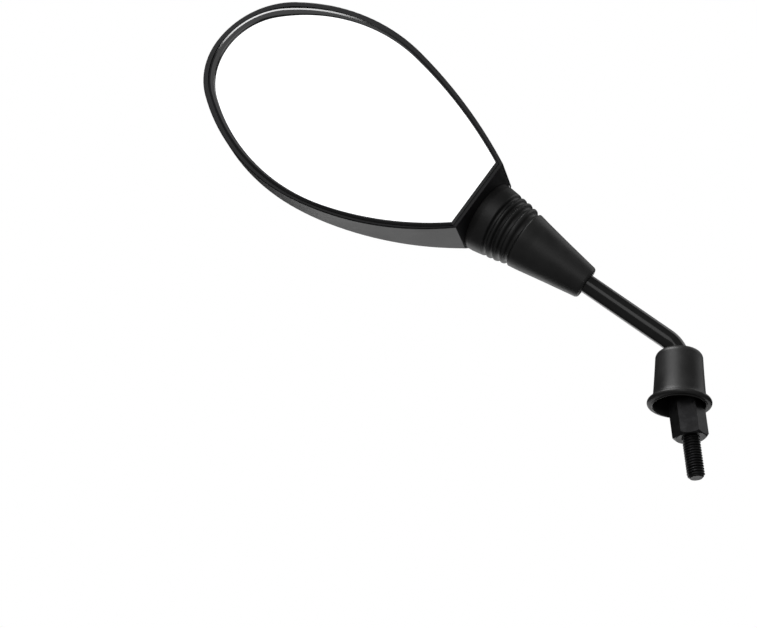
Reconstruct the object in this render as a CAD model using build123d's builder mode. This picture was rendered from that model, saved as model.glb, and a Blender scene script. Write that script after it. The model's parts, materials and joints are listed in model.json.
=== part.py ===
"""Left-hand scooter mirror: teardrop head on a ball joint, bent rod stem, hex adapter and M8 stud.

Frame: the origin is the centre of the adapter's shoulder, where the stud begins.  +Z runs up the
stem, the stem bends over towards -X, and the glass looks towards the rider on the -Y side.
All sizes are in millimetres.
"""
from build123d import *

import os
from math import acos, asin, cos, degrees, radians, sin, sqrt

os.makedirs("parts", exist_ok=True)

# ---- Stem, adapter and stud ----
STUD_R = 4.0             # M8 stud
STUD_LENGTH = 19.0       # stud below the shoulder
STUD_CHAMFER = 1.2
STUD_SCREWED_IN = 7.0    # stud inside the adapter
ADAPTER_FLATS = 14.0     # across the flats
ADAPTER_HEIGHT = 26.0
ADAPTER_TURN = 42.0      # a flat of the hexagon looks towards the rider
STUD_ROOT_R = 3.4        # the stud's thinner end inside the adapter
SINK_R = 4.2             # countersink round the stud, in the shoulder face
SPIGOT_R = 3.45          # threaded lower end of the rod
SPIGOT_BOTTOM = 8.5
THREAD_PLAY = 0.05
WASHER_THICK = 1.2
JAM_NUT_FLATS = 11.0
JAM_NUT_BOTTOM = 27.6
JAM_NUT_HEIGHT = 4.9
ROD_R = 4.5
ROD_BOTTOM = 33.0        # the full rod begins above the jam nut
BEND_HEIGHT = 45.0       # where the two straight runs of the rod would meet
BEND_ANGLE = 51.0
BEND_R = 13.0
ROD_RUN = 94.0           # from that meeting point to the centre of the ball

# ---- Ball joint ----
BALL_R = 6.5
BALL_BORE = 3.2
BALL_NECK_R = 3.15       # thin end of the rod, pressed into the ball
BALL_BORE_END = -0.9     # the blind bore stops just past the ball's centre
ROD_SHOULDER = 12.0      # the rod has its full size again this far from the ball's centre
LINER_INNER = 6.8
LINER_OUTER = 8.2
LINER_FRONT_SPAN = (42, 74)   # angles of the liners' edges, from their own axes
LINER_REAR_SPAN = (35, 72)
SEAT_R = 8.5             # spherical seats that hold the two liners
CUP_R = 11.0
CUP_BORE = 9.0
CUP_FRONT = 5.5          # cup's lip, ahead of the ball's centre
FLANGE_R = 14.8
FLANGE_THICK = 3.0
SCREW_CIRCLE = 12.9
SCREW_R = 1.5
SCREW_HEAD_R = 2.3
SCREW_HEAD_HIGH = 1.9
SCREW_PLAY = 0.2         # clearance holes in the plate and the flange
SLIDE_PLAY = 0.05        # pressure cup and plate in the tube
SHELL_PLAY = 0.4         # round the flange, inside the shell

# ---- Head ----
HEAD_SWIVEL = -17.7      # turn of the head about the rod
HEAD_TILT = 11.4         # lean of the glass against the rod
BALL_BEFORE_WALL = 12.0  # the ball sits this far outside the head's end wall
BALL_BEHIND_RIM = 25.0   # and this far behind the rim plane
# Each outline starts at its tip and runs along each edge to the straight cut at the neck, in
# three arcs that meet in line: tip radius, angle where the tip arc ends, shoulder radius, angle
# where the shoulder arc ends, side radius.
RIM_TIP = (152.5, 2.4)
RIM_LOWER = (32.5, 52.0, 93.5, 95.5, 140.0)
RIM_UPPER = (41.5, 59.5, 91.0, 103.0, 258.0)
HOLDER_TIP = (149.5, 2.0)
HOLDER_LOWER = (31.5, 52.5, 92.8, 99.0, 146.0)
HOLDER_UPPER = (36.5, 55.0, 86.5, 102.5, 252.0)
GLASS_TIP = (146.5, 1.6)
GLASS_LOWER = (30.5, 53.0, 92.0, 103.0, 152.0)
GLASS_UPPER = (31.5, 50.0, 82.0, 102.0, 245.0)
HOLDER_CUT = 1.5         # the holder's and the glass's straight edges, from the end of the rim
GLASS_CUT = 2.9
HEAD_HEIGHT = 80.0       # taller than the head is deep
WALL = 2.4
END_WALL = 5.0
EDGE_ROUND = 0.5

SECTION_MARGIN = 3.4     # the back's sections are this much wider than the outline, each side
BEYOND_TIP_HALF = 8.0
# Cross-sections of the back: distance from the end wall, height of the widest line below the rim
# (above it where negative), and depth of the half ellipse below that line.
BACK_SECTIONS = (
    (-1.0, 10.0, 32.0),
    (16.0, 4.0, 40.5),
    (38.0, -1.0, 47.0),
    (75.0, -5.0, 51.0),
    (112.0, -6.0, 45.5),
    (136.0, -5.0, 31.0),
    (147.0, -3.5, 19.0),
    (156.0, -3.0, 9.0),
)
LEAST_SECTION = 2.0      # smallest half width or depth that a drawn-in section keeps

# ---- Glass and its holder ----
HOLDER_PLAY = 0.1
HOLDER_TOP = 0.8         # above the rim
HOLDER_BEVEL_WIDE = 1.0  # shallow outward bevel of the holder's raised edge
HOLDER_BEVEL_HIGH = 0.45
HOLDER_BOTTOM = 6.4      # below the rim
GLASS_PLAY = 0.1
GLASS_TOP = 0.8          # above the rim, at the middle of the glass
GLASS_THICK = 2.0
GLASS_CURVE_R = 1800.0   # convex glass
GLASS_CENTRE = 78.0
PAD_THICK = 0.8
PAD_INSET = 4.0

# ---- Cover panel on the back ----
PANEL_THICK = 2.2
PANEL_EDGE = 1.0         # the panel stops this far inside the outline
SEAM_GAP = 0.3
RECESS_FLOOR = 2.2
POST_R = 2.5
POST_LENGTH = 10.0
POST_PLACES = ((24.0, -9.0), (58.0, -20.0), (90.0, -27.0))
PUSH_NUT_R = 5.0
PUSH_NUT_THICK = 0.6
# Seam of the cover panel, seen square on to the glass: from the lower side of the neck over the
# back to the upper edge.
SEAM = (
    (-2.0, 17.5),
    (35.0, 12.5),
    (62.0, 7.0),
    (86.0, -8.0),
    (104.0, -25.0),
    (107.0, -38.0),
    (97.0, -50.0),
)

# ---- Rubber boot and dust cap ----
BOOT_LENGTH = 43.8       # small end to the ball's centre
BOOT_SMALL_R = 7.8
BOOT_HOLE = 4.8
BOOT_CONE_END = 9.5
BOOT_CONE_R = 13.8
BOOT_WALL = 1.6
BOOT_ROUND_R = 16.9      # rounded middle, about the ball's centre
COLLAR_R = 17.0
SPIGOT_RING_R = 15.0
SPIGOT_RING_INNER = 13.0
SPIGOT_RING_LENGTH = 5.5
CAP_TOP = 41.5
CAP_TILT = 7.0           # the loose cap hangs a little askew
CAP_LENGTH = 26.5
CAP_HOLE = 5.3
CAP_TOP_R = 10.8
CAP_LOW_R = 12.0
CAP_FLANGE_R = 14.6
CAP_WALL = 0.9
CAP_ROUND = 3.0

# ---- Working planes ----
ROD_WAY = Vector(-sin(radians(BEND_ANGLE)), 0, cos(radians(BEND_ANGLE)))
BEND_POINT = Vector(0, 0, BEND_HEIGHT)
BALL = BEND_POINT + ROD_WAY * ROD_RUN
# Along the rod: local X runs from the ball back down the rod.
ROD = Plane(origin=BALL, x_dir=ROD_WAY * -1, z_dir=(0, -1, 0))
ROD_AXIS = Axis(BALL, ROD_WAY * -1)
# Head at the ball: local X runs to the tip and local Z out of the glass.
HEAD_AT_BALL = Plane(
    Plane(origin=BALL, x_dir=ROD_WAY, z_dir=(0, -1, 0)).location * Rotation(HEAD_SWIVEL, HEAD_TILT, 0)
)
# Head at the rim: the origin is in the rim plane, at the middle of the straight cut.
HEAD = Plane(
    origin=HEAD_AT_BALL.from_local_coords((BALL_BEFORE_WALL, 0, BALL_BEHIND_RIM)),
    x_dir=HEAD_AT_BALL.x_dir,
    z_dir=HEAD_AT_BALL.z_dir,
)
# Along the neck: local X runs from the ball into the head, and local Y towards the glass.
NECK = Plane(origin=BALL, x_dir=HEAD.x_dir, z_dir=HEAD.y_dir * -1)
NECK_AXIS = Axis(BALL, HEAD.x_dir)
UPRIGHT = Plane.XZ
CAP = Plane(
    origin=(0, 0, CAP_TOP),
    x_dir=(cos(radians(CAP_TILT)), 0, -sin(radians(CAP_TILT))),
    z_dir=(0, -1, 0),
)


def save(builder, label):
    """Label one finished piece and write it as its own STEP file."""
    builder.part.label = label
    export_step(builder.part, f"parts/{label}.step")


def profile(*points):
    """Closed straight-sided face in the open sketch."""
    with BuildLine() as edge:
        Polyline(*points, close=True)
    make_face(edge.edges())


def sphere_ring(inner, outer, start, stop):
    """Face between two arcs about the sketch's origin, from one angle to another."""
    with BuildLine() as edge:
        low = CenterArc((0, 0), inner, start, stop - start)
        high = CenterArc((0, 0), outer, start, stop - start)
        Line(low @ 0, high @ 0)
        Line(low @ 1, high @ 1)
    make_face(edge.edges())


def compass(angle):
    """Unit vector at this many degrees from local X."""
    return Vector(cos(radians(angle)), sin(radians(angle)))


def arc_centres(tip, arcs, side):
    """Centres of one edge's three arcs, for the lower edge (side 1) or the upper edge (side -1)."""
    tip_r, tip_end, shoulder_r, shoulder_end, side_r = arcs
    tip_centre = Vector(*tip) - Vector(tip_r, 0)
    shoulder_centre = tip_centre + compass(side * tip_end) * (tip_r - shoulder_r)
    side_centre = shoulder_centre + compass(side * shoulder_end) * (shoulder_r - side_r)
    return tip_centre, shoulder_centre, side_centre


def teardrop(tip, lower, upper, inset, cut):
    """Teardrop outline in the open sketch, drawn in by inset, with its straight edge at cut."""
    with BuildLine() as edge:
        corners = []
        for arcs, side in ((lower, 1), (upper, -1)):
            tip_r, tip_end, shoulder_r, shoulder_end, side_r = arcs
            tip_centre, shoulder_centre, side_centre = arc_centres(tip, arcs, side)
            cut_end = degrees(acos((cut - side_centre.X) / (side_r - inset)))
            CenterArc(tip_centre, tip_r - inset, 0, side * tip_end)
            CenterArc(shoulder_centre, shoulder_r - inset, side * tip_end, side * (shoulder_end - tip_end))
            last = CenterArc(
                side_centre, side_r - inset, side * shoulder_end, side * (cut_end - shoulder_end)
            )
            corners.append(last @ 1)
        Line(corners[0], corners[1])
    make_face(edge.edges())


def rim_outline(inset, cut):
    """Outline of the housing's rim."""
    teardrop(RIM_TIP, RIM_LOWER, RIM_UPPER, inset, cut)


def holder_outline(inset):
    """Outline of the glass holder."""
    teardrop(HOLDER_TIP, HOLDER_LOWER, HOLDER_UPPER, inset, HOLDER_CUT + inset)


def glass_outline(inset):
    """Outline of the glass."""
    teardrop(GLASS_TIP, GLASS_LOWER, GLASS_UPPER, inset, GLASS_CUT + inset)


def rim_edge(place, side):
    """Across position of the rim's lower (side 1) or upper (side -1) edge, this far from the end wall."""
    arcs = RIM_LOWER if side > 0 else RIM_UPPER
    tip_r, tip_end, shoulder_r, shoulder_end, side_r = arcs
    tip_centre, shoulder_centre, side_centre = arc_centres(RIM_TIP, arcs, side)
    if place > (tip_centre + compass(side * tip_end) * tip_r).X:
        centre, radius = tip_centre, tip_r
    elif place > (shoulder_centre + compass(side * shoulder_end) * shoulder_r).X:
        centre, radius = shoulder_centre, shoulder_r
    else:
        centre, radius = side_centre, side_r
    return centre.Y + side * sqrt(radius**2 - (place - centre.X) ** 2)


def rim_height(edge):
    """Height of an edge's middle above the rim plane."""
    return HEAD.to_local_coords(edge.center()).Z


def back_section(middle, half, widest, depth):
    """U-shaped section of the head: open-topped sides above a half ellipse."""
    above = 10.0
    with BuildLine() as edge:
        EllipticalCenterArc((middle, -widest), half, depth, start_angle=180, arc_size=180)
        Line((middle - half, -widest), (middle - half, above))
        Line((middle - half, above), (middle + half, above))
        Line((middle + half, above), (middle + half, -widest))
    make_face(edge.edges())


def head_blank(edge, skin, cut):
    """Solid head: outline drawn in by edge, back surface drawn in by skin, end wall at cut."""
    with BuildPart() as blank:
        for place, widest, depth in BACK_SECTIONS:
            middle = RIM_TIP[1]
            half = BEYOND_TIP_HALF
            if place < RIM_TIP[0]:
                middle = (rim_edge(place, 1) + rim_edge(place, -1)) / 2
                half = (rim_edge(place, 1) - rim_edge(place, -1)) / 2 + SECTION_MARGIN
            half = max(half - skin, LEAST_SECTION)
            centre = HEAD.from_local_coords((place, 0, 0))
            with BuildSketch(Plane(origin=centre, x_dir=HEAD.y_dir, z_dir=HEAD.x_dir)):
                back_section(middle, half, widest, max(depth - skin, LEAST_SECTION))
        loft()
        with BuildSketch(HEAD):
            rim_outline(edge, cut)
        extrude(amount=-HEAD_HEIGHT, mode=Mode.INTERSECT)
    return blank.part


def panel_region(grow):
    """Tall block over the cover panel's side of the seam, with the seam moved out by grow."""
    beyond = 60.0
    with BuildPart() as region:
        with BuildSketch(HEAD):
            with BuildLine():
                seam = Spline(*[(x + grow, y + grow) for x, y in SEAM])
                Polyline(seam @ 1, (SEAM[-1][0], -beyond), (SEAM[0][0], -beyond), seam @ 0)
            make_face()
        extrude(amount=-HEAD_HEIGHT)
    return region.part


def convex_block(below_rim):
    """Large ball whose surface stands this far below the rim at the middle of the glass."""
    with BuildPart() as block:
        with Locations(HEAD.from_local_coords((GLASS_CENTRE, 0, -below_rim - GLASS_CURVE_R))):
            Sphere(GLASS_CURVE_R)
    return block.part


def ball_solid(radius):
    """Solid ball about the centre of the joint."""
    with BuildPart() as solid:
        with Locations(BALL):
            Sphere(radius)
    return solid.part


def hexagon_bar(flats, turn):
    """Hexagon across the flats in the open sketch."""
    RegularPolygon(radius=flats / 2, side_count=6, major_radius=False, rotation=turn)


def screw_places():
    """Places of the four clamp screws about the neck, as (across, up) in the head's end wall."""
    return PolarLocations(SCREW_CIRCLE, 4, start_angle=45)


def neck_plane(along):
    """Plane square to the neck, this far from the ball towards the head."""
    return Plane(origin=NECK.from_local_coords((along, 0, 0)), x_dir=HEAD.y_dir, z_dir=HEAD.x_dir)


# ================= Adapter body =================

# M8 stud: plain cylinder at the thread's outer size, with a chamfered tip
with BuildPart() as threaded_stud:
    with BuildSketch(UPRIGHT):
        profile(
            (0, -STUD_LENGTH),
            (STUD_R - STUD_CHAMFER, -STUD_LENGTH),
            (STUD_R, -STUD_LENGTH + STUD_CHAMFER),
            (STUD_R, 0),
            (STUD_ROOT_R, 0),
            (STUD_ROOT_R, STUD_SCREWED_IN),
            (0, STUD_SCREWED_IN),
        )
    revolve(axis=Axis.Z)
save(threaded_stud, "threaded_stud")

# Hex adapter: bored from below for the stud and from above for the rod's threaded end
with BuildPart() as hex_adapter:
    with BuildSketch():
        hexagon_bar(ADAPTER_FLATS, ADAPTER_TURN)
    extrude(amount=ADAPTER_HEIGHT)
    corner_r = ADAPTER_FLATS / sqrt(3)
    face_r = ADAPTER_FLATS / 2 - 0.4
    chamfer_high = 1.1
    with BuildSketch(UPRIGHT):
        profile(
            (0, 0),
            (face_r, 0),
            (corner_r, chamfer_high),
            (corner_r, ADAPTER_HEIGHT - chamfer_high),
            (face_r, ADAPTER_HEIGHT),
            (0, ADAPTER_HEIGHT),
        )
    revolve(axis=Axis.Z, mode=Mode.INTERSECT)
    with BuildSketch():
        Circle(STUD_ROOT_R)
    extrude(amount=STUD_SCREWED_IN, mode=Mode.SUBTRACT)
    with BuildSketch(Plane.XY.offset(SPIGOT_BOTTOM - 0.5)):
        Circle(SPIGOT_R + THREAD_PLAY)
    extrude(amount=ADAPTER_HEIGHT, mode=Mode.SUBTRACT)
    with BuildSketch(UPRIGHT):
        profile((0, 0), (SINK_R, 0), (STUD_ROOT_R, SINK_R - STUD_ROOT_R), (0, SINK_R - STUD_ROOT_R))
    revolve(axis=Axis.Z, mode=Mode.SUBTRACT)
save(hex_adapter, "hex_adapter")

# Spring washer under the jam nut, split at one side
with BuildPart() as spring_washer:
    washer_r = 6.3
    slot_wide = 1.0
    slot_turn = 20
    bore_play = 0.3
    with BuildSketch(Plane.XY.offset(ADAPTER_HEIGHT)):
        Circle(washer_r)
        Circle(SPIGOT_R + bore_play, mode=Mode.SUBTRACT)
        with Locations((washer_r, 0)):
            Rectangle(washer_r, slot_wide, rotation=slot_turn, mode=Mode.SUBTRACT)
    extrude(amount=WASHER_THICK)
save(spring_washer, "spring_washer")

# ================= Stem body =================

# Bent rod with a threaded lower end and a thin end for the ball
with BuildPart() as stem_rod:
    with BuildLine() as route:
        FilletPolyline(
            (0, 0, ROD_BOTTOM),
            BEND_POINT,
            BALL - ROD_WAY * ROD_SHOULDER,
            radius=BEND_R,
        )
    with BuildSketch(Plane.XY.offset(ROD_BOTTOM)):
        Circle(ROD_R)
    sweep(path=route.wires()[0])
    with BuildSketch(Plane.XY.offset(SPIGOT_BOTTOM)):
        Circle(SPIGOT_R)
    extrude(amount=ROD_BOTTOM - SPIGOT_BOTTOM)
    with BuildSketch(ROD):
        profile(
            (BALL_BORE_END, 0),
            (BALL_BORE_END, BALL_NECK_R),
            (ROD_SHOULDER - 1.5, BALL_NECK_R),
            (ROD_SHOULDER, ROD_R),
            (ROD_SHOULDER + 1.0, ROD_R),
            (ROD_SHOULDER + 1.0, 0),
        )
    revolve(axis=ROD_AXIS)
save(stem_rod, "stem_rod")

# Steel ball, bored blind for the rod's thin end
with BuildPart() as stem_ball:
    bore_sweep = degrees(asin(BALL_BORE / BALL_R))
    with BuildSketch(ROD):
        with BuildLine():
            rim = CenterArc((0, 0), BALL_R, bore_sweep, 180 - bore_sweep)
            Polyline(rim @ 0, (BALL_BORE_END, BALL_BORE), (BALL_BORE_END, 0), rim @ 1)
        make_face()
    revolve(axis=ROD_AXIS)
save(stem_ball, "stem_ball")

# Jam nut that locks the stem's direction in the adapter
with BuildPart() as jam_nut:
    with BuildSketch(Plane.XY.offset(JAM_NUT_BOTTOM)):
        hexagon_bar(JAM_NUT_FLATS, ADAPTER_TURN - 14)
        Circle(SPIGOT_R + THREAD_PLAY, mode=Mode.SUBTRACT)
    extrude(amount=JAM_NUT_HEIGHT)
    chamfer(jam_nut.edges().group_by(Axis.Z)[-1].filter_by(GeomType.LINE), length=0.5)
save(jam_nut, "jam_nut")

# Rubber dust cap: closed round top with a hole for the rod, open flanged mouth
with BuildPart() as dust_cap:
    low_inner = CAP_LOW_R - CAP_WALL
    top_inner = CAP_TOP_R - CAP_WALL
    roof = 2.2
    flange_high = 2.2
    with BuildSketch(CAP):
        with BuildLine():
            Line((CAP_HOLE, 0), (CAP_TOP_R - CAP_ROUND, 0))
            RadiusArc((CAP_TOP_R - CAP_ROUND, 0), (CAP_TOP_R, -CAP_ROUND), CAP_ROUND)
            Polyline(
                (CAP_TOP_R, -CAP_ROUND),
                (CAP_LOW_R, -CAP_LENGTH + flange_high + 0.8),
                (CAP_FLANGE_R - 0.6, -CAP_LENGTH + flange_high),
                (CAP_FLANGE_R, -CAP_LENGTH + flange_high - 0.6),
                (CAP_FLANGE_R, -CAP_LENGTH + 0.6),
                (CAP_FLANGE_R - 0.6, -CAP_LENGTH),
                (low_inner + 1.1, -CAP_LENGTH),
                (low_inner, -CAP_LENGTH + 3.0),
                (top_inner, -roof - 1.0),
                (top_inner - 1.0, -roof),
                (CAP_HOLE, -roof),
                (CAP_HOLE, 0),
            )
        make_face()
    revolve(axis=Axis(CAP.origin, CAP.y_dir))
save(dust_cap, "dust_cap")

# ================= Ball liners =================

# Front liner: a spherical ring on the rod side, square to the rod
with BuildPart() as liner_front:
    with BuildSketch(ROD):
        sphere_ring(LINER_INNER, LINER_OUTER, *LINER_FRONT_SPAN)
    revolve(axis=ROD_AXIS)
save(liner_front, "liner_front")

# Rear liner: a spherical ring on the head side, square to the neck
with BuildPart() as liner_rear:
    with BuildSketch(NECK):
        sphere_ring(LINER_INNER, LINER_OUTER, *LINER_REAR_SPAN)
    revolve(axis=NECK_AXIS)
save(liner_rear, "liner_rear")

# ================= Head body: socket =================

flange_near = BALL_BEFORE_WALL + END_WALL
flange_far = flange_near + FLANGE_THICK

# Socket cup: tube with a front seat for the liner and a flange inside the end wall
with BuildPart() as socket_cup:
    lip_sweep = 126.0
    lip_x = SEAT_R * cos(radians(lip_sweep))
    lip_r = SEAT_R * sin(radians(lip_sweep))
    with BuildSketch(NECK):
        with BuildLine():
            seat = CenterArc((0, 0), SEAT_R, 90, lip_sweep - 90)
            Polyline(
                seat @ 1,
                (-CUP_FRONT, lip_r + 0.8),
                (-CUP_FRONT, CUP_R - 0.8),
                (-CUP_FRONT + 0.8, CUP_R),
                (flange_near, CUP_R),
                (flange_near, FLANGE_R),
                (flange_far, FLANGE_R),
                (flange_far, CUP_BORE),
                (0, CUP_BORE),
                seat @ 0,
            )
        make_face()
    revolve(axis=NECK_AXIS)
    with BuildSketch(neck_plane(flange_near)):
        with screw_places():
            Circle(SCREW_R + SCREW_PLAY)
    extrude(amount=FLANGE_THICK, mode=Mode.SUBTRACT)
save(socket_cup, "socket_cup")

# Pressure cup: slides in the tube and presses the rear liner on the ball
pressure_near = 2.5
pressure_far = 12.5
with BuildPart() as pressure_cup:
    with BuildSketch(NECK):
        with BuildLine():
            near_sweep = degrees(acos(pressure_near / SEAT_R))
            seat = CenterArc((0, 0), SEAT_R, 0, near_sweep)
            Polyline(
                seat @ 1,
                (pressure_near, CUP_BORE - SLIDE_PLAY),
                (pressure_far, CUP_BORE - SLIDE_PLAY),
                (pressure_far, 0),
                seat @ 0,
            )
        make_face()
    revolve(axis=NECK_AXIS)
save(pressure_cup, "pressure_cup")

# Three cone washers that load the pressure cup
with BuildPart() as disc_springs:
    disc_gap = 1.35
    disc_thick = 0.7
    disc_rise = 0.5
    for number in range(3):
        start = pressure_far + 0.05 + number * disc_gap
        lean = disc_rise if number % 2 == 0 else 0.0
        with BuildSketch(NECK):
            profile(
                (start + lean, 4.1),
                (start + disc_rise - lean, CUP_BORE - 0.4),
                (start + disc_rise - lean + disc_thick, CUP_BORE - 0.4),
                (start + lean + disc_thick, 4.1),
            )
        revolve(axis=NECK_AXIS)
save(disc_springs, "disc_springs")

# Spring plate: plugs the tube and is pulled down by the four screws
plug_near = pressure_far + 0.1 + 3 * disc_gap
plate_far = flange_far + 2.4
with BuildPart() as spring_plate:
    with BuildSketch(NECK):
        profile(
            (plug_near, 0),
            (plug_near, CUP_BORE - SLIDE_PLAY),
            (flange_far, CUP_BORE - SLIDE_PLAY),
            (flange_far, FLANGE_R),
            (plate_far, FLANGE_R),
            (plate_far, 0),
        )
    revolve(axis=NECK_AXIS)
    with BuildSketch(neck_plane(flange_far)):
        with screw_places():
            Circle(SCREW_R + SCREW_PLAY)
    extrude(amount=plate_far - flange_far, mode=Mode.SUBTRACT)
save(spring_plate, "spring_plate")

# Four pan-head screws through the plate and the flange into the end wall
screw_tip = BALL_BEFORE_WALL + 1.0
with BuildPart() as clamp_screws:
    with BuildSketch(neck_plane(screw_tip)):
        with screw_places():
            Circle(SCREW_R)
    extrude(amount=plate_far - screw_tip)
    with BuildSketch(neck_plane(plate_far)):
        with screw_places():
            Circle(SCREW_HEAD_R)
    extrude(amount=SCREW_HEAD_HIGH)
    recess_long = 2.6
    recess_wide = 0.6
    with BuildSketch(neck_plane(plate_far + SCREW_HEAD_HIGH / 2)):
        with screw_places():
            Rectangle(recess_long, recess_wide)
            Rectangle(recess_wide, recess_long)
    extrude(amount=SCREW_HEAD_HIGH, mode=Mode.SUBTRACT)
save(clamp_screws, "clamp_screws")

# ================= Head body: shell, cover, glass =================

solid_head = head_blank(0, 0, 0)
inner_head = head_blank(WALL, WALL, END_WALL)
recess_outer = head_blank(PANEL_EDGE - SEAM_GAP, 0, -5)
recess_inner = head_blank(0.2, PANEL_THICK + 0.1, -5)
floor_outer = head_blank(PANEL_EDGE, PANEL_THICK + 0.1, 1)
floor_inner = head_blank(0.2, PANEL_THICK + RECESS_FLOOR, -5)
panel_outer = head_blank(PANEL_EDGE, 0, 0)
panel_inner = head_blank(0.2, PANEL_THICK, -5)

post_band = head_blank(WALL, 1.0, 0) - head_blank(0.2, POST_LENGTH, -5)
nut_outer = PANEL_THICK + RECESS_FLOOR + 0.05
nut_band = head_blank(WALL, nut_outer, 0) - head_blank(0.2, nut_outer + PUSH_NUT_THICK, -5)

# Cover panel: a skin of the back, with three posts on its inner side
with BuildPart() as cover_panel:
    add(panel_outer - panel_inner)
    add(panel_region(0), mode=Mode.INTERSECT)
    with BuildSketch(HEAD):
        with Locations(*POST_PLACES):
            Circle(POST_R)
    post_bars = extrude(amount=-HEAD_HEIGHT, mode=Mode.PRIVATE)
    add(post_bars & post_band)
save(cover_panel, "cover_panel")

# Push nuts: thin steel discs that grip the posts under the recess floor
with BuildPart() as push_nuts:
    with BuildSketch(HEAD):
        with Locations(*POST_PLACES):
            Circle(PUSH_NUT_R)
            Circle(POST_R, mode=Mode.SUBTRACT)
    extrude(amount=-HEAD_HEIGHT)
    add(nut_band, mode=Mode.INTERSECT)
save(push_nuts, "push_nuts")

# Rear shell: wall all round, recess and floor for the cover panel, end wall and spigot ring
with BuildPart() as rear_shell:
    add(solid_head)
    rim_arcs = [
        edge for edge in rear_shell.edges().filter_by(GeomType.CIRCLE) if abs(rim_height(edge)) < 0.01
    ]
    fillet(rim_arcs, radius=EDGE_ROUND)
    add(inner_head, mode=Mode.SUBTRACT)
    add((recess_outer - recess_inner) & panel_region(SEAM_GAP), mode=Mode.SUBTRACT)
    add((floor_outer - floor_inner) & panel_region(2.0))
    with BuildSketch(neck_plane(flange_near)):
        Circle(FLANGE_R + SHELL_PLAY)
    extrude(amount=plate_far + SCREW_HEAD_HIGH + SHELL_PLAY - flange_near, mode=Mode.SUBTRACT)
    with BuildSketch(HEAD):
        holder_outline(-HOLDER_PLAY)
    extrude(amount=-HOLDER_BOTTOM - HOLDER_PLAY, mode=Mode.SUBTRACT)
    with BuildSketch(HEAD):
        with Locations(*POST_PLACES):
            Circle(POST_R + 0.1)
    extrude(amount=-HEAD_HEIGHT, mode=Mode.SUBTRACT)
    with BuildSketch(NECK):
        profile(
            (BALL_BEFORE_WALL - SPIGOT_RING_LENGTH, SPIGOT_RING_INNER),
            (BALL_BEFORE_WALL - SPIGOT_RING_LENGTH, SPIGOT_RING_R),
            (BALL_BEFORE_WALL + 1.0, SPIGOT_RING_R),
            (BALL_BEFORE_WALL + 1.0, SPIGOT_RING_INNER),
        )
    revolve(axis=NECK_AXIS)
    with BuildSketch(neck_plane(BALL_BEFORE_WALL)):
        Circle(CUP_R + 0.05)
    extrude(amount=END_WALL, mode=Mode.SUBTRACT)
    with BuildSketch(neck_plane(screw_tip)):
        with screw_places():
            Circle(SCREW_R + THREAD_PLAY)
    extrude(amount=END_WALL, mode=Mode.SUBTRACT)
save(rear_shell, "rear_shell")

glass_front = convex_block(-GLASS_TOP)
glass_back = convex_block(GLASS_THICK - GLASS_TOP)
under_pad = convex_block(GLASS_THICK + PAD_THICK - GLASS_TOP)

# Glass holder: tray that carries the pad and frames the glass with a bevelled, raised edge
with BuildPart() as glass_holder:
    with BuildSketch(HEAD.offset(-HOLDER_BOTTOM)):
        holder_outline(0)
    extrude(amount=HOLDER_BOTTOM + HOLDER_TOP)
    top_edges = [edge for edge in glass_holder.edges() if abs(rim_height(edge) - HOLDER_TOP) < 0.01]
    top_face = glass_holder.faces().sort_by(Axis(HEAD.origin, HEAD.z_dir))[-1]
    chamfer(top_edges, length=HOLDER_BEVEL_WIDE, length2=HOLDER_BEVEL_HIGH, reference=top_face)
    with BuildSketch(HEAD.offset(-HOLDER_BOTTOM)):
        glass_outline(-GLASS_PLAY)
    pocket = extrude(amount=2 * HOLDER_BOTTOM, mode=Mode.PRIVATE)
    add(pocket - under_pad, mode=Mode.SUBTRACT)
save(glass_holder, "glass_holder")

# Mirror glass: convex plate
with BuildPart() as mirror_glass:
    with BuildSketch(HEAD.offset(-HOLDER_BOTTOM)):
        glass_outline(0)
    extrude(amount=2 * HOLDER_BOTTOM)
    add(glass_front - glass_back, mode=Mode.INTERSECT)
save(mirror_glass, "mirror_glass")

# Foam pad that glues the glass to its holder
with BuildPart() as glass_pad:
    with BuildSketch(HEAD.offset(-HOLDER_BOTTOM)):
        glass_outline(PAD_INSET)
    extrude(amount=HOLDER_BOTTOM)
    add(glass_back - under_pad, mode=Mode.INTERSECT)
save(glass_pad, "glass_pad")

# ================= Head body: boot =================

ring_near = BALL_BEFORE_WALL - 4.5
ring_far = BALL_BEFORE_WALL - 3.0

round_outer = ball_solid(BOOT_ROUND_R)
round_inner = ball_solid(BOOT_ROUND_R - BOOT_WALL)

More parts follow.
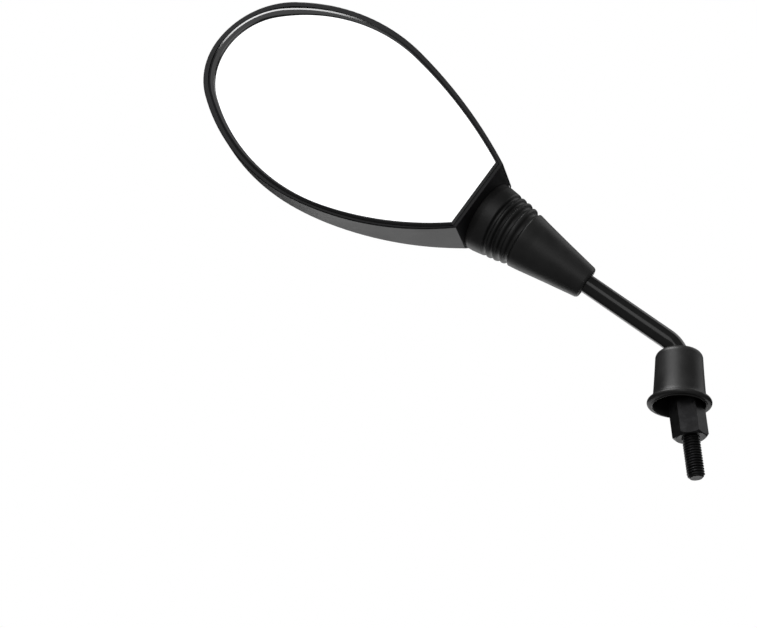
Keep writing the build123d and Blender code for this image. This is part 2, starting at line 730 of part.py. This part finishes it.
# Rubber boot: cone about the rod, round middle about the ball, collar about the neck
with BuildPart() as boot:
    with BuildSketch(ROD):
        profile(
            (0, 0),
            (0, BOOT_CONE_R),
            (BOOT_CONE_END, BOOT_CONE_R),
            (BOOT_LENGTH, BOOT_SMALL_R),
            (BOOT_LENGTH, 0),
        )
    revolve(axis=ROD_AXIS)
    add(round_outer)
    with BuildSketch(NECK):
        profile((3, 0), (3, COLLAR_R), (BALL_BEFORE_WALL, COLLAR_R), (BALL_BEFORE_WALL, 0))
    revolve(axis=NECK_AXIS)
    with BuildSketch(ROD):
        profile(
            (0, 0),
            (0, BOOT_CONE_R - BOOT_WALL),
            (BOOT_CONE_END, BOOT_CONE_R - BOOT_WALL),
            (BOOT_LENGTH - 3.5, BOOT_SMALL_R - BOOT_WALL),
            (BOOT_LENGTH - 2.5, BOOT_HOLE),
            (BOOT_LENGTH + 1.0, BOOT_HOLE),
            (BOOT_LENGTH + 1.0, 0),
        )
    revolve(axis=ROD_AXIS, mode=Mode.SUBTRACT)
    add(round_inner, mode=Mode.SUBTRACT)
    with BuildSketch(NECK):
        profile(
            (3, 0),
            (3, SPIGOT_RING_R),
            (ring_near - 0.1, SPIGOT_RING_R),
            (ring_near - 0.1, SPIGOT_RING_R + 1.1),
            (ring_far + 0.1, SPIGOT_RING_R + 1.1),
            (ring_far + 0.1, SPIGOT_RING_R),
            (BALL_BEFORE_WALL, SPIGOT_RING_R),
            (BALL_BEFORE_WALL, 0),
        )
    revolve(axis=NECK_AXIS, mode=Mode.SUBTRACT)
    with BuildSketch(neck_plane(BALL_BEFORE_WALL - 0.1)):
        Circle(2 * COLLAR_R)
    extrude(amount=2 * COLLAR_R, mode=Mode.SUBTRACT)
save(boot, "boot")

# Wire ring that holds the boot's collar on the spigot ring
with BuildPart() as boot_ring:
    with BuildSketch(NECK):
        profile(
            (ring_near, SPIGOT_RING_R),
            (ring_near, SPIGOT_RING_R + 1.0),
            (ring_far, SPIGOT_RING_R + 1.0),
            (ring_far, SPIGOT_RING_R),
        )
    revolve(axis=NECK_AXIS)
save(boot_ring, "boot_ring")
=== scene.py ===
"""Looks of the left-hand scooter mirror: camera, light, materials and the detailed pieces."""
import json
import math

import bmesh
import bpy
from mathutils import Matrix, Vector


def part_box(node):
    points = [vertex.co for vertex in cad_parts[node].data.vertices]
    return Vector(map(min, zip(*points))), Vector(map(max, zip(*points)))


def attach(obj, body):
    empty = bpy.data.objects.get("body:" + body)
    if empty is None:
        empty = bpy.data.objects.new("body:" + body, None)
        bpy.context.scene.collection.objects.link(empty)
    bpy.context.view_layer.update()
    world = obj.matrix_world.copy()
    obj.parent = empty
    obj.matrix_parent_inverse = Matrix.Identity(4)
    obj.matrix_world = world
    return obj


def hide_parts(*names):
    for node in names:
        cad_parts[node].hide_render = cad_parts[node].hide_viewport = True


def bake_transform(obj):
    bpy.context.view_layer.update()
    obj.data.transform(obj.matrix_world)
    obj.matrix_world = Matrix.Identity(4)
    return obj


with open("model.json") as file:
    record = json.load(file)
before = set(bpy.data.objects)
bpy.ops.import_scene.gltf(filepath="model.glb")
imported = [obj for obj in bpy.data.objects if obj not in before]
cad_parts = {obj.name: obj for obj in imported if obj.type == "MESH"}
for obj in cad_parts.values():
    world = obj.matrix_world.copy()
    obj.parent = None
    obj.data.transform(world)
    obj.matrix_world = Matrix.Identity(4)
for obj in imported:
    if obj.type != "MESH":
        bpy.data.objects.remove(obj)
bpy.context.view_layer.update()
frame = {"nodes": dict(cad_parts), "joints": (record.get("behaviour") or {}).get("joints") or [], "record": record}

MM = 0.001

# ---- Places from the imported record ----
JOINTS = {joint["name"]: joint for joint in frame["joints"]}
BALL = Vector(JOINTS["head_swivel"]["pos_m"])
UP_ROD = Vector(JOINTS["head_swivel"]["axis"]).normalized()
HEAD_ACROSS = Vector(JOINTS["head_tilt"]["axis"]).normalized()
GLASS_WAY = Vector(JOINTS["head_pan"]["axis"]).normalized()
HEAD_ALONG = HEAD_ACROSS.cross(GLASS_WAY)

# ---- Camera: the photograph's viewing angle ----
CAMERA_PLACE = (-0.2908, -0.8641, -0.3701)
CAMERA_RIGHT = (0.9874, -0.1446, -0.0649)
CAMERA_UP = (-0.0063, -0.4451, 0.8955)
CAMERA_BACK = (-0.1584, -0.8837, -0.4403)
CAMERA_LENS = 104.6
CAMERA_SENSOR = 36.0

# ---- Studio ----
FLOOR_HEIGHT = -0.62
FLOOR_SIZE = 16.0
FLOOR_GLOW = 0.55         # keeps the floor pale where the soft boxes don't reach it
WORLD_IN_FRONT = 0.20     # brightness of the surroundings in reflections
WORLD_BEHIND = 0.06
WORLD_TURN = (-0.5, 0.55)    # cosines to the camera's back between which one goes over to the other
# Soft box that the glass shows: distance, width, height and radiance
GLASS_BOX = (1.2, 0.95, 0.95, 1.2)
# Soft box for the bevel: shares of the camera's right, up and back; then as above
RIM_BOX = ((-0.38, 0.90, -0.12), 1.2, 0.9, 0.5, 13.0)
# Soft boxes for the rod, the boot and the cap, aimed at the ball
OTHER_BOXES = {
    "right_box": ((0.76, 0.42, -0.50), 1.2, 0.9, 0.9, 0.85),
    "low_box": ((0.0, -0.62, -0.78), 1.3, 1.4, 0.9, 1.5),
    "front_box": ((0.05, 0.22, 0.97), 1.6, 0.9, 0.9, 1.0),
}

# ---- Rubber boot, in millimetres; along is measured from the ball down the rod ----
BOOT_END = 43.7
BOOT_SMALL_R = 7.8
BOOT_LIP = 1.0            # rounded lip at the small end
BOOT_LIP_TURN = 84        # degrees that the lip's rounding turns through
BOOT_HOLE_R = 4.75
BOOT_HOLE_LENGTH = 4.0
BOOT_HOLE_BEVEL = (0.5, 0.4)
BOOT_SOLID_END = 6.0      # the small end is solid rubber round the rod
BOOT_THICK = 0.9
# Radius of the boot without its grooves: (along, radius)
BOOT_SHAPE = (
    (BOOT_END, BOOT_SMALL_R),
    (27.0, 10.6),
    (12.0, 13.3),
    (8.0, 14.0),
    (2.5, 15.2),
    (-4.0, 16.1),
    (-9.0, 16.8),
    (-12.5, 16.9),
)
BOOT_WALL_END = -11.95    # against the head's end wall
GROOVES = (8.0, 4.5, 1.0, -2.5)
GROOVE_DEPTH = 1.6        # 0.4 more than measured, for darker grooves
GROOVE_HALF = 1.0         # 0.15 more than measured
BOOT_SPLIT = 1.0          # at the bottom of a groove
SPIGOT_FROM = -5.8        # from here the boot sits on the head's spigot ring
SPIGOT_R = 15.05
WIRE_SLOT = (-7.3, -9.2)  # room for the wire ring in the boot's inner side
WIRE_SLOT_R = 16.1
BOOT_BEND_FROM = 15.0     # the boot's own bend from the rod to the neck
BOOT_BEND_TO = 3.0
BOOT_STEP = 0.2           # between the rings of the outside
BOOT_INNER_SKIP = 3       # the plain inside keeps every third ring
SPLIT_GAP = 0.04          # keeps the two sleeves from rubbing at the split

# ---- Dust cap ----
CAP_TOP = 41.5
CAP_TILT = 7.0
CAP_TOP_R = 10.8
CAP_LOW_R = 12.0
CAP_FLANGE_R = 14.6
CAP_LENGTH = 26.5
CAP_HOLE = 5.3
CAP_WALL = 0.9
CAP_ROUND = 3.0           # rounded top edge
CAP_LIP_ROUND = 1.25      # rounded outer edge of the lip
CAP_SKIN = 0.05           # the rubber stays this far inside the CAD cap

# ---- Stud thread ----
THREAD_R = 4.0
THREAD_ROOT_R = 3.25
THREAD_PITCH = 1.25
THREAD_CREST = 0.14       # shares of one pitch
THREAD_ROOT = 0.22
THREAD_SIDES = 96
THREAD_RINGS = 16         # in one pitch
STUD_LENGTH = 19.0
STUD_CHAMFER = 1.2
STUD_CORE_R = 3.38
STUD_SCREWED_IN = 7.0


# ================= Mesh helpers =================

def smooth_step(value):
    """0 below 0, 1 above 1, and a smooth curve between."""
    value = min(max(value, 0.0), 1.0)
    return value * value * (3.0 - 2.0 * value)


def make_object(name, points, faces, smooth=True):
    """Mesh object from points in metres in the row frame."""
    mesh = bpy.data.meshes.new(name)
    mesh.from_pydata([tuple(point) for point in points], [], faces)
    mesh.update()
    for polygon in mesh.polygons:
        polygon.use_smooth = smooth
    made = bpy.data.objects.new(name, mesh)
    bpy.context.scene.collection.objects.link(made)
    return made


def turn_outward(made):
    """Turns every face of a closed piece to look outward."""
    shape = bmesh.new()
    shape.from_mesh(made.data)
    bmesh.ops.recalc_face_normals(shape, faces=shape.faces)
    shape.to_mesh(made.data)
    shape.free()


def band_faces(here, there, count):
    """Faces between two rings of count points, given the number of each ring's first point."""
    faces = []
    for step in range(count):
        after = (step + 1) % count
        faces.append((here + step, here + after, there + after, there + step))
    return faces


def ring_mesh(name, rings):
    """Closed surface through rings of equally many points; the last ring joins the first."""
    count = len(rings[0])
    points = [point for ring in rings for point in ring]
    faces = []
    for number in range(len(rings)):
        following = (number + 1) % len(rings)
        faces += band_faces(number * count, following * count, count)
    made = make_object(name, points, faces)
    turn_outward(made)
    return made


def circle_points(centre, side_a, side_b, radius, count):
    """Points of one circle."""
    points = []
    for step in range(count):
        angle = 2 * math.pi * step / count
        out_a = side_a * (radius * math.cos(angle))
        out_b = side_b * (radius * math.sin(angle))
        points.append(centre + out_a + out_b)
    return points


def arc_profile(centre, radius, start, stop, steps):
    """(along, out) points of a round corner in a profile, with its angles in degrees."""
    points = []
    for step in range(steps + 1):
        angle = math.radians(start + (stop - start) * step / steps)
        along = centre[0] + radius * math.cos(angle)
        out = centre[1] + radius * math.sin(angle)
        points.append((along, out))
    return points


def lathe(name, profile, origin, way, side, count=128):
    """Body of revolution from closed (along, out) points in millimetres."""
    other = way.cross(side)
    rings = []
    for along, out in profile:
        rings.append(circle_points(origin + way * (along * MM), side, other, out * MM, count))
    return ring_mesh(name, rings)


# ================= Material helpers =================

class Finish:
    """A procedural material being made: its nodes, its links and its shader."""

    def __init__(self, name, color, roughness, metallic=0.0, shine=0.5):
        self.material = bpy.data.materials.new(name)
        self.material.use_nodes = True
        self.nodes = self.material.node_tree.nodes
        self.links = self.material.node_tree.links
        self.shader = self.nodes["Principled BSDF"]
        self.shader.inputs["Base Color"].default_value = (*color, 1.0)
        self.shader.inputs["Roughness"].default_value = roughness
        self.shader.inputs["Metallic"].default_value = metallic
        self.shader.inputs["Specular IOR Level"].default_value = shine
        self.place = self.node("ShaderNodeTexCoord").outputs["Object"]

    def node(self, kind, **values):
        made = self.nodes.new(kind)
        for key, value in values.items():
            setattr(made, key, value)
        return made

    def noise(self, scale, detail=3.0, stretch=(1, 1, 1), rough=0.55):
        """Noise with this many features in a metre."""
        mapping = self.node("ShaderNodeMapping")
        mapping.inputs["Scale"].default_value = stretch
        self.links.new(self.place, mapping.inputs["Vector"])
        made = self.node("ShaderNodeTexNoise")
        made.inputs["Scale"].default_value = scale
        made.inputs["Detail"].default_value = detail
        made.inputs["Roughness"].default_value = rough
        self.links.new(mapping.outputs["Vector"], made.inputs["Vector"])
        return made.outputs["Fac"]

    def spread(self, value, low, high, start=0.3, stop=0.7):
        """Spreads a 0 to 1 value over low to high."""
        made = self.node("ShaderNodeMapRange")
        made.inputs["From Min"].default_value = start
        made.inputs["From Max"].default_value = stop
        made.inputs["To Min"].default_value = low
        made.inputs["To Max"].default_value = high
        self.links.new(value, made.inputs["Value"])
        return made.outputs["Result"]

    def shades(self, value, dark, light, start=0.35, stop=0.65):
        """Colour ramp between two colours, into the base colour."""
        ramp = self.node("ShaderNodeValToRGB")
        ramp.color_ramp.elements[0].position = start
        ramp.color_ramp.elements[0].color = (*dark, 1.0)
        ramp.color_ramp.elements[1].position = stop
        ramp.color_ramp.elements[1].color = (*light, 1.0)
        self.links.new(value, ramp.inputs["Fac"])
        self.links.new(ramp.outputs["Color"], self.shader.inputs["Base Color"])

    def add_values(self, first, second, share):
        """first plus share times second."""
        made = self.node("ShaderNodeMath", operation="MULTIPLY_ADD")
        made.inputs[1].default_value = share
        self.links.new(second, made.inputs[0])
        self.links.new(first, made.inputs[2])
        return made.outputs["Value"]

    def relief(self, height, depth, strength=1.0):
        """Bump of this depth in metres."""
        made = self.node("ShaderNodeBump")
        made.inputs["Distance"].default_value = depth
        made.inputs["Strength"].default_value = strength
        self.links.new(height, made.inputs["Height"])
        self.links.new(made.outputs["Normal"], self.shader.inputs["Normal"])


def satin_plastic():
    """Moulded black plastic: fine spark-eroded grain, with faint handling marks."""
    finish = Finish("satin_plastic", (0.009, 0.009, 0.010), 0.40, shine=0.2)
    cloud = finish.noise(28.0, detail=4.0)
    grain = finish.noise(2600.0, detail=2.0)
    finish.shades(cloud, (0.007, 0.007, 0.008), (0.011, 0.011, 0.012))
    rough = finish.add_values(finish.spread(cloud, 0.34, 0.42), grain, 0.08)
    finish.links.new(rough, finish.shader.inputs["Roughness"])
    finish.relief(finish.add_values(grain, finish.noise(700.0), 0.5), 0.000035, 0.35)
    return finish.material


def rim_plastic():
    """Smoother black plastic of the frame round the glass."""
    finish = Finish("rim_plastic", (0.008, 0.008, 0.009), 0.18, shine=0.45)
    cloud = finish.noise(60.0, detail=3.0)
    finish.shades(cloud, (0.006, 0.006, 0.007), (0.010, 0.010, 0.011))
    finish.links.new(finish.spread(cloud, 0.15, 0.22), finish.shader.inputs["Roughness"])
    finish.relief(finish.noise(1500.0, detail=2.0), 0.00002, 0.25)
    return finish.material


def rubber():
    """Black rubber: soft mottled bloom and a matt moulded skin."""
    finish = Finish("rubber", (0.012, 0.012, 0.012), 0.44, shine=0.45)
    bloom = finish.noise(90.0, detail=5.0)
    pores = finish.noise(1900.0, detail=3.0)
    finish.shades(bloom, (0.009, 0.009, 0.009), (0.017, 0.017, 0.017))
    rough = finish.add_values(finish.spread(bloom, 0.36, 0.46), pores, 0.08)
    finish.links.new(rough, finish.shader.inputs["Roughness"])
    finish.relief(finish.add_values(pores, bloom, 0.6), 0.00005, 0.35)
    return finish.material


def black_paint():
    """Gloss black powder coat with a slight orange peel."""
    finish = Finish("black_paint", (0.005, 0.005, 0.005), 0.16)
    peel = finish.noise(420.0, detail=1.5)
    finish.shades(peel, (0.004, 0.004, 0.004), (0.007, 0.007, 0.007))
    finish.links.new(finish.spread(finish.noise(120.0), 0.12, 0.2), finish.shader.inputs["Roughness"])
    finish.shader.inputs["Coat Weight"].default_value = 0.1
    finish.shader.inputs["Coat Roughness"].default_value = 0.12
    finish.relief(peel, 0.00003, 0.3)
    return finish.material


def black_zinc():
    """Black-plated steel: turned lines and a few paler rubbed patches."""
    finish = Finish("black_zinc", (0.03, 0.03, 0.032), 0.33, metallic=0.75)
    lines = finish.noise(900.0, detail=3.0, stretch=(0.15, 0.15, 2.5))
    worn = finish.noise(260.0, detail=5.0, rough=0.7)
    finish.shades(worn, (0.018, 0.018, 0.019), (0.045, 0.045, 0.047), 0.45, 0.72)
    rough = finish.add_values(finish.spread(worn, 0.3, 0.42), lines, 0.1)
    finish.links.new(rough, finish.shader.inputs["Roughness"])
    finish.relief(lines, 0.00003, 0.3)
    return finish.material


def bare_steel():
    """Machined steel with fine turning marks."""
    finish = Finish("bare_steel", (0.52, 0.52, 0.53), 0.3, metallic=1.0)
    marks = finish.noise(1400.0, detail=3.0, stretch=(0.3, 0.3, 3.0))
    finish.shades(marks, (0.44, 0.44, 0.45), (0.58, 0.58, 0.58))
    finish.links.new(finish.spread(marks, 0.24, 0.38), finish.shader.inputs["Roughness"])
    finish.relief(marks, 0.00002, 0.25)
    return finish.material


def nylon():
    """Natural nylon, slightly waxy."""
    finish = Finish("nylon", (0.72, 0.70, 0.64), 0.42)
    cloud = finish.noise(200.0)
    finish.shades(cloud, (0.66, 0.64, 0.57), (0.76, 0.74, 0.69))
    finish.links.new(finish.spread(cloud, 0.36, 0.48), finish.shader.inputs["Roughness"])
    finish.relief(finish.noise(1600.0), 0.00002, 0.25)
    return finish.material


def inner_plastic():
    """Glass-filled black nylon with pale fibre flecks."""
    finish = Finish("inner_plastic", (0.04, 0.04, 0.042), 0.5)
    flecks = finish.noise(2200.0, detail=4.0, stretch=(3.0, 0.6, 0.6), rough=0.8)
    finish.shades(flecks, (0.028, 0.028, 0.03), (0.10, 0.10, 0.10), 0.5, 0.8)
    finish.links.new(finish.spread(flecks, 0.42, 0.56), finish.shader.inputs["Roughness"])
    finish.relief(flecks, 0.00003, 0.3)
    return finish.material


def foam():
    """Grey closed-cell foam."""
    finish = Finish("foam", (0.28, 0.28, 0.29), 0.85)
    cells = finish.node("ShaderNodeTexVoronoi")
    cells.inputs["Scale"].default_value = 1800.0
    finish.links.new(finish.place, cells.inputs["Vector"])
    finish.shades(cells.outputs["Distance"], (0.20, 0.20, 0.21), (0.34, 0.34, 0.35), 0.1, 0.7)
    finish.links.new(finish.spread(finish.noise(500.0), 0.75, 0.92), finish.shader.inputs["Roughness"])
    finish.relief(cells.outputs["Distance"], 0.0001, 0.5)
    return finish.material


def mirror_glass():
    """Silvered glass, clean, with the faintest film of dust."""
    finish = Finish("mirror_glass", (0.93, 0.935, 0.94), 0.015, metallic=1.0)
    film = finish.noise(35.0, detail=6.0)
    finish.shades(film, (0.925, 0.93, 0.935), (0.95, 0.955, 0.955))
    finish.links.new(finish.spread(film, 0.01, 0.03), finish.shader.inputs["Roughness"])
    return finish.material


FINISHES = {
    "satin_plastic": satin_plastic(),
    "rim_plastic": rim_plastic(),
    "rubber": rubber(),
    "black_paint": black_paint(),
    "black_zinc": black_zinc(),
    "bare_steel": bare_steel(),
    "nylon": nylon(),
    "inner_plastic": inner_plastic(),
    "foam": foam(),
    "mirror_glass": mirror_glass(),
}


def dress(piece, slot, body=None):
    """Gives a new piece its material, and lets it ride on a body where one is named."""
    piece.data.materials.append(FINISHES[slot])
    if body:
        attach(piece, body)


# ================= CAD nodes =================

for subpart in frame["record"]["subparts"]:
    node = frame["nodes"][subpart["node"]]
    for material_slot in node.material_slots:
        material_slot.material = FINISHES[subpart["material_slot"]]


# ================= Camera =================

def add_camera():
    """Camera at the photograph's place; the columns of its matrix are right, up and back."""
    camera = bpy.data.objects.new("camera", bpy.data.cameras.new("camera"))
    bpy.context.scene.collection.objects.link(camera)
    turn = Matrix((CAMERA_RIGHT, CAMERA_UP, CAMERA_BACK)).transposed().to_4x4()
    camera.matrix_world = Matrix.Translation(CAMERA_PLACE) @ turn
    camera.data.sensor_width = CAMERA_SENSOR
    camera.data.lens = CAMERA_LENS
    camera.data.clip_start = 0.01
    camera.data.clip_end = 50.0
    bpy.context.scene.camera = camera


add_camera()


# ================= Studio =================

def add_floor():
    """Plain pale floor, hidden from diffuse and glossy rays so that it doesn't light the mirror."""
    half = FLOOR_SIZE / 2
    corners = [(-half, -half), (half, -half), (half, half), (-half, half)]
    floor = make_object("floor", [(x, y, FLOOR_HEIGHT) for x, y in corners], [(0, 1, 2, 3)])
    finish = Finish("floor", (0.8, 0.8, 0.8), 0.7)
    cloud = finish.noise(3.0)
    finish.shades(cloud, (0.79, 0.79, 0.79), (0.82, 0.82, 0.82))
    finish.shader.inputs["Emission Color"].default_value = (1.0, 1.0, 1.0, 1.0)
    finish.shader.inputs["Emission Strength"].default_value = FLOOR_GLOW
    floor.data.materials.append(finish.material)
    floor.visible_diffuse = False
    floor.visible_glossy = False


def add_world():
    """Surroundings that are white to the camera, and dim in reflections."""
    world = bpy.data.worlds.new("studio")
    bpy.context.scene.world = world
    world.use_nodes = True
    nodes = world.node_tree.nodes
    links = world.node_tree.links
    background = nodes["Background"]
    place = nodes.new("ShaderNodeTexCoord")
    facing = nodes.new("ShaderNodeVectorMath")
    facing.operation = "DOT_PRODUCT"
    facing.inputs[1].default_value = [-value for value in CAMERA_BACK]
    links.new(place.outputs["Generated"], facing.inputs[0])
    ramp = nodes.new("ShaderNodeMapRange")
    ramp.interpolation_type = "SMOOTHSTEP"
    ramp.inputs["From Min"].default_value = WORLD_TURN[0]
    ramp.inputs["From Max"].default_value = WORLD_TURN[1]
    ramp.inputs["To Min"].default_value = WORLD_IN_FRONT
    ramp.inputs["To Max"].default_value = WORLD_BEHIND
    links.new(facing.outputs["Value"], ramp.inputs["Value"])
    path = nodes.new("ShaderNodeLightPath")
    shown = nodes.new("ShaderNodeMath")
    shown.operation = "MAXIMUM"
    links.new(path.outputs["Is Camera Ray"], shown.inputs[0])
    links.new(ramp.outputs["Result"], shown.inputs[1])
    links.new(shown.outputs["Value"], background.inputs["Strength"])
    background.inputs["Color"].default_value = (1.0, 1.0, 1.0, 1.0)


def add_soft_light(name, target, way, distance, width, height, radiance):
    """Rectangular soft box that faces target from this direction."""
    light = bpy.data.lights.new(name, "AREA")
    light.shape = "RECTANGLE"
    light.size = width
    light.size_y = height
    light.energy = radiance * math.pi * width * height
    holder = bpy.data.objects.new(name, light)
    bpy.context.scene.collection.objects.link(holder)
    way = Vector(way).normalized()
    holder.location = Vector(target) + way * distance
    holder.rotation_mode = "QUATERNION"
    holder.rotation_quaternion = way.to_track_quat("Z", "Y")


def from_camera(shares):
    """Direction given by its shares of the camera's right, up and back."""
    right, up, back = shares
    return Vector(CAMERA_RIGHT) * right + Vector(CAMERA_UP) * up + Vector(CAMERA_BACK) * back


def add_lights():
    """The soft box that the glass shows, and four others that draw the black shapes."""
    glass_low, glass_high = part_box("mirror_glass")
    glass_middle = (glass_low + glass_high) / 2
    seen = (glass_middle - Vector(CAMERA_PLACE)).normalized()
    mirrored = seen - GLASS_WAY * (2 * seen.dot(GLASS_WAY))
    add_soft_light("glass_box", glass_middle, mirrored, *GLASS_BOX)
    shares, *sizes = RIM_BOX
    add_soft_light("rim_box", glass_middle, from_camera(shares), *sizes)
    for name, (shares, *sizes) in OTHER_BOXES.items():
        add_soft_light(name, BALL, from_camera(shares), *sizes)


add_floor()
add_world()
add_lights()
bpy.context.scene.view_settings.view_transform = "Standard"


# ================= Rubber boot =================

def boot_groove(along):
    """Depth of the nearest groove here, in millimetres."""
    depth = 0.0
    for groove in GROOVES:
        reach = (along - groove) / GROOVE_HALF
        depth = max(depth, GROOVE_DEPTH * math.exp(-reach ** 4))
    return depth


def boot_outer(along):
    """Outer radius of the boot without its grooves."""
    for (start, start_r), (stop, stop_r) in zip(BOOT_SHAPE, BOOT_SHAPE[1:]):
        if along >= stop:
            share = min((start - along) / (start - stop), 1.0)
            return start_r + (stop_r - start_r) * share
    return BOOT_SHAPE[-1][1]


def boot_centre(along):
    """Middle of the boot: on the rod's line below the bend, on the neck's line above it."""
    share = smooth_step((BOOT_BEND_FROM - along) / (BOOT_BEND_FROM - BOOT_BEND_TO))
    on_rod = BALL - UP_ROD * (along * MM)
    on_neck = BALL - HEAD_ALONG * (along * MM)
    return on_rod.lerp(on_neck, share), UP_ROD.lerp(HEAD_ALONG, share).normalized()


def boot_ring(along, radius, count=160):
    """Ring of the boot: square to the rod below the grooves, square to the neck above them."""
    centre, way = boot_centre(along)
    turn = UP_ROD.rotation_difference(way)
    side_a = turn @ HEAD_ACROSS.cross(UP_ROD).normalized()
    side_b = way.cross(side_a)
    return circle_points(centre, side_a, side_b, radius * MM, count)


def boot_inner(along):
    """Inner radius of the boot: a thin wall over the grooves, and a seat on the spigot ring."""
    if WIRE_SLOT[1] < along < WIRE_SLOT[0]:
        return WIRE_SLOT_R
    if along < SPIGOT_FROM:
        return SPIGOT_R
    return min(boot_outer(along) - GROOVE_DEPTH - BOOT_THICK, SPIGOT_R)


def boot_walls(start, stop):
    """(along, radius) points of the grooved outside, and of the plain inside in reverse."""
    steps = round((start - stop) / BOOT_STEP)
    places = [start + (stop - start) * step / steps for step in range(steps + 1)]
    outer = [(along, boot_outer(along) - boot_groove(along)) for along in places]
    inner = [(along, boot_inner(along)) for along in reversed(places[::BOOT_INNER_SKIP])]
    return outer, inner


def add_boot():
    """The boot in two sleeves that meet in a groove."""
    outer, inner = boot_walls(BOOT_END - BOOT_LIP, BOOT_SPLIT)
    lip = [
        (BOOT_END - BOOT_HOLE_LENGTH, BOOT_HOLE_R),
        (BOOT_END - BOOT_HOLE_BEVEL[0], BOOT_HOLE_R),
        (BOOT_END, BOOT_HOLE_R + BOOT_HOLE_BEVEL[1]),
    ]
    lip_centre = (BOOT_END - BOOT_LIP, BOOT_SMALL_R - BOOT_LIP)
    lip += arc_profile(lip_centre, BOOT_LIP, 0, BOOT_LIP_TURN, 12)
    inner = [place for place in inner if place[0] < BOOT_END - BOOT_SOLID_END]
    profile = lip + outer + inner
    sleeve = ring_mesh("boot_cone", [boot_ring(along, radius) for along, radius in profile])
    dress(sleeve, "rubber")
    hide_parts("boot")
    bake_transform(sleeve)
    outer, inner = boot_walls(BOOT_SPLIT - SPLIT_GAP, BOOT_WALL_END)
    collar = ring_mesh("boot_collar", [boot_ring(along, radius) for along, radius in outer + inner])
    dress(collar, "rubber")
    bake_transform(collar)


add_boot()


# ================= Dust cap =================

def add_dust_cap():
    """Rubber cap: rounded top, flared skirt, thick lip with a fine step under it."""
    tilt = math.radians(CAP_TILT)
    way = Vector((math.sin(tilt), 0, math.cos(tilt)))
    side = Vector((math.cos(tilt), 0, -math.sin(tilt)))
    mouth = -CAP_LENGTH + CAP_SKIN
    lip_r = CAP_FLANGE_R - CAP_LIP_ROUND - CAP_SKIN
    low_inner = CAP_LOW_R - CAP_WALL - CAP_SKIN
    top_inner = CAP_TOP_R - CAP_WALL - CAP_SKIN
    middle_inner = (low_inner + top_inner) / 2
    round_centre = (-CAP_ROUND, CAP_TOP_R - CAP_ROUND - CAP_SKIN)
    top = [(-0.1, CAP_HOLE), (0.0, CAP_HOLE + 0.3)]
    top += arc_profile(round_centre, CAP_ROUND, 0, 90, 16)
    skirt = [
        (-9.0, CAP_TOP_R + 0.25),
        (-15.0, CAP_TOP_R + 0.6),
        (mouth + 5.6, CAP_LOW_R - 0.2),
        (mouth + 4.4, CAP_LOW_R),
        (mouth + 3.7, CAP_LOW_R + 0.2),
        (mouth + 3.25, CAP_LOW_R + 0.6),
    ]
    lip = [(mouth + 3.0, lip_r - 0.1)]
    lip += arc_profile((mouth + 1.75, lip_r), CAP_LIP_ROUND, 20, 165, 16)
    step_under_lip = [
        (mouth + 0.4, lip_r - 0.35),
        (mouth + 0.45, lip_r - 0.6),
        (mouth + 0.1, lip_r - 0.8),
        (mouth, lip_r - 1.1),
    ]
    inside = [
        (mouth, low_inner + 1.1),
        (mouth + 0.9, low_inner + 0.5),
        (mouth + 3.0, low_inner),
        (-12.0, middle_inner),
        (-3.3, top_inner),
        (-2.3, top_inner - 1.0),
        (-2.2, CAP_HOLE + 0.2),
        (-2.0, CAP_HOLE),
    ]
    outline = top + skirt + lip + step_under_lip + inside
    cap = lathe("dust_cap_rubber", outline, Vector((0, 0, CAP_TOP)) * MM, way, side)
    dress(cap, "rubber", "dust_cap")
    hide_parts("dust_cap")


add_dust_cap()


# ================= Threaded stud =================

def thread_radius(turn_share):
    """Radius of the thread at this share of one pitch: crest, flank, root, flank."""
    flank = (1.0 - THREAD_CREST - THREAD_ROOT) / 2
    if turn_share < THREAD_CREST:
        share = 0.0
    elif turn_share < THREAD_CREST + flank:
        share = (turn_share - THREAD_CREST) / flank
    elif turn_share < THREAD_CREST + flank + THREAD_ROOT:
        share = 1.0
    else:
        share = (1.0 - turn_share) / flank
    return THREAD_R + (THREAD_ROOT_R - THREAD_R) * share


def thread_ring(height):
    """Points of the thread at this height in millimetres, cut off by the tip's chamfer."""
    cone = THREAD_R - STUD_CHAMFER + (height + STUD_LENGTH)
    ring = []
    for place in range(THREAD_SIDES):
        angle = 2 * math.pi * place / THREAD_SIDES
        share = (height / THREAD_PITCH - place / THREAD_SIDES) % 1.0
        radius = min(thread_radius(share), cone)
        ring.append(Vector((radius * math.cos(angle), radius * math.sin(angle), height)) * MM)
    return ring


def add_stud():
    """Stud with a real helical thread, a chamfered tip and a plain end inside the adapter."""
    step = THREAD_PITCH / THREAD_RINGS
    rings = []
    for number in range(round(STUD_LENGTH / step) + 1):
        rings.append(thread_ring(min(-STUD_LENGTH + number * step, 0.0)))
    across = Vector((1, 0, 0))
    ahead = Vector((0, 1, 0))
    for height in (0.0, STUD_SCREWED_IN):
        centre = Vector((0, 0, height * MM))
        rings.append(circle_points(centre, across, ahead, STUD_CORE_R * MM, THREAD_SIDES))
    points = [point for ring in rings for point in ring]
    faces = []
    for number in range(len(rings) - 1):
        here = number * THREAD_SIDES
        faces += band_faces(here, here + THREAD_SIDES, THREAD_SIDES)
    faces.append(tuple(reversed(range(THREAD_SIDES))))
    faces.append(tuple(range(len(points) - THREAD_SIDES, len(points))))
    stud = make_object("stud_thread", points, faces)
    for polygon in stud.data.polygons:
        polygon.use_smooth = len(polygon.vertices) == 4
    dress(stud, "black_zinc", "adapter")
    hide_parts("threaded_stud")


add_stud()
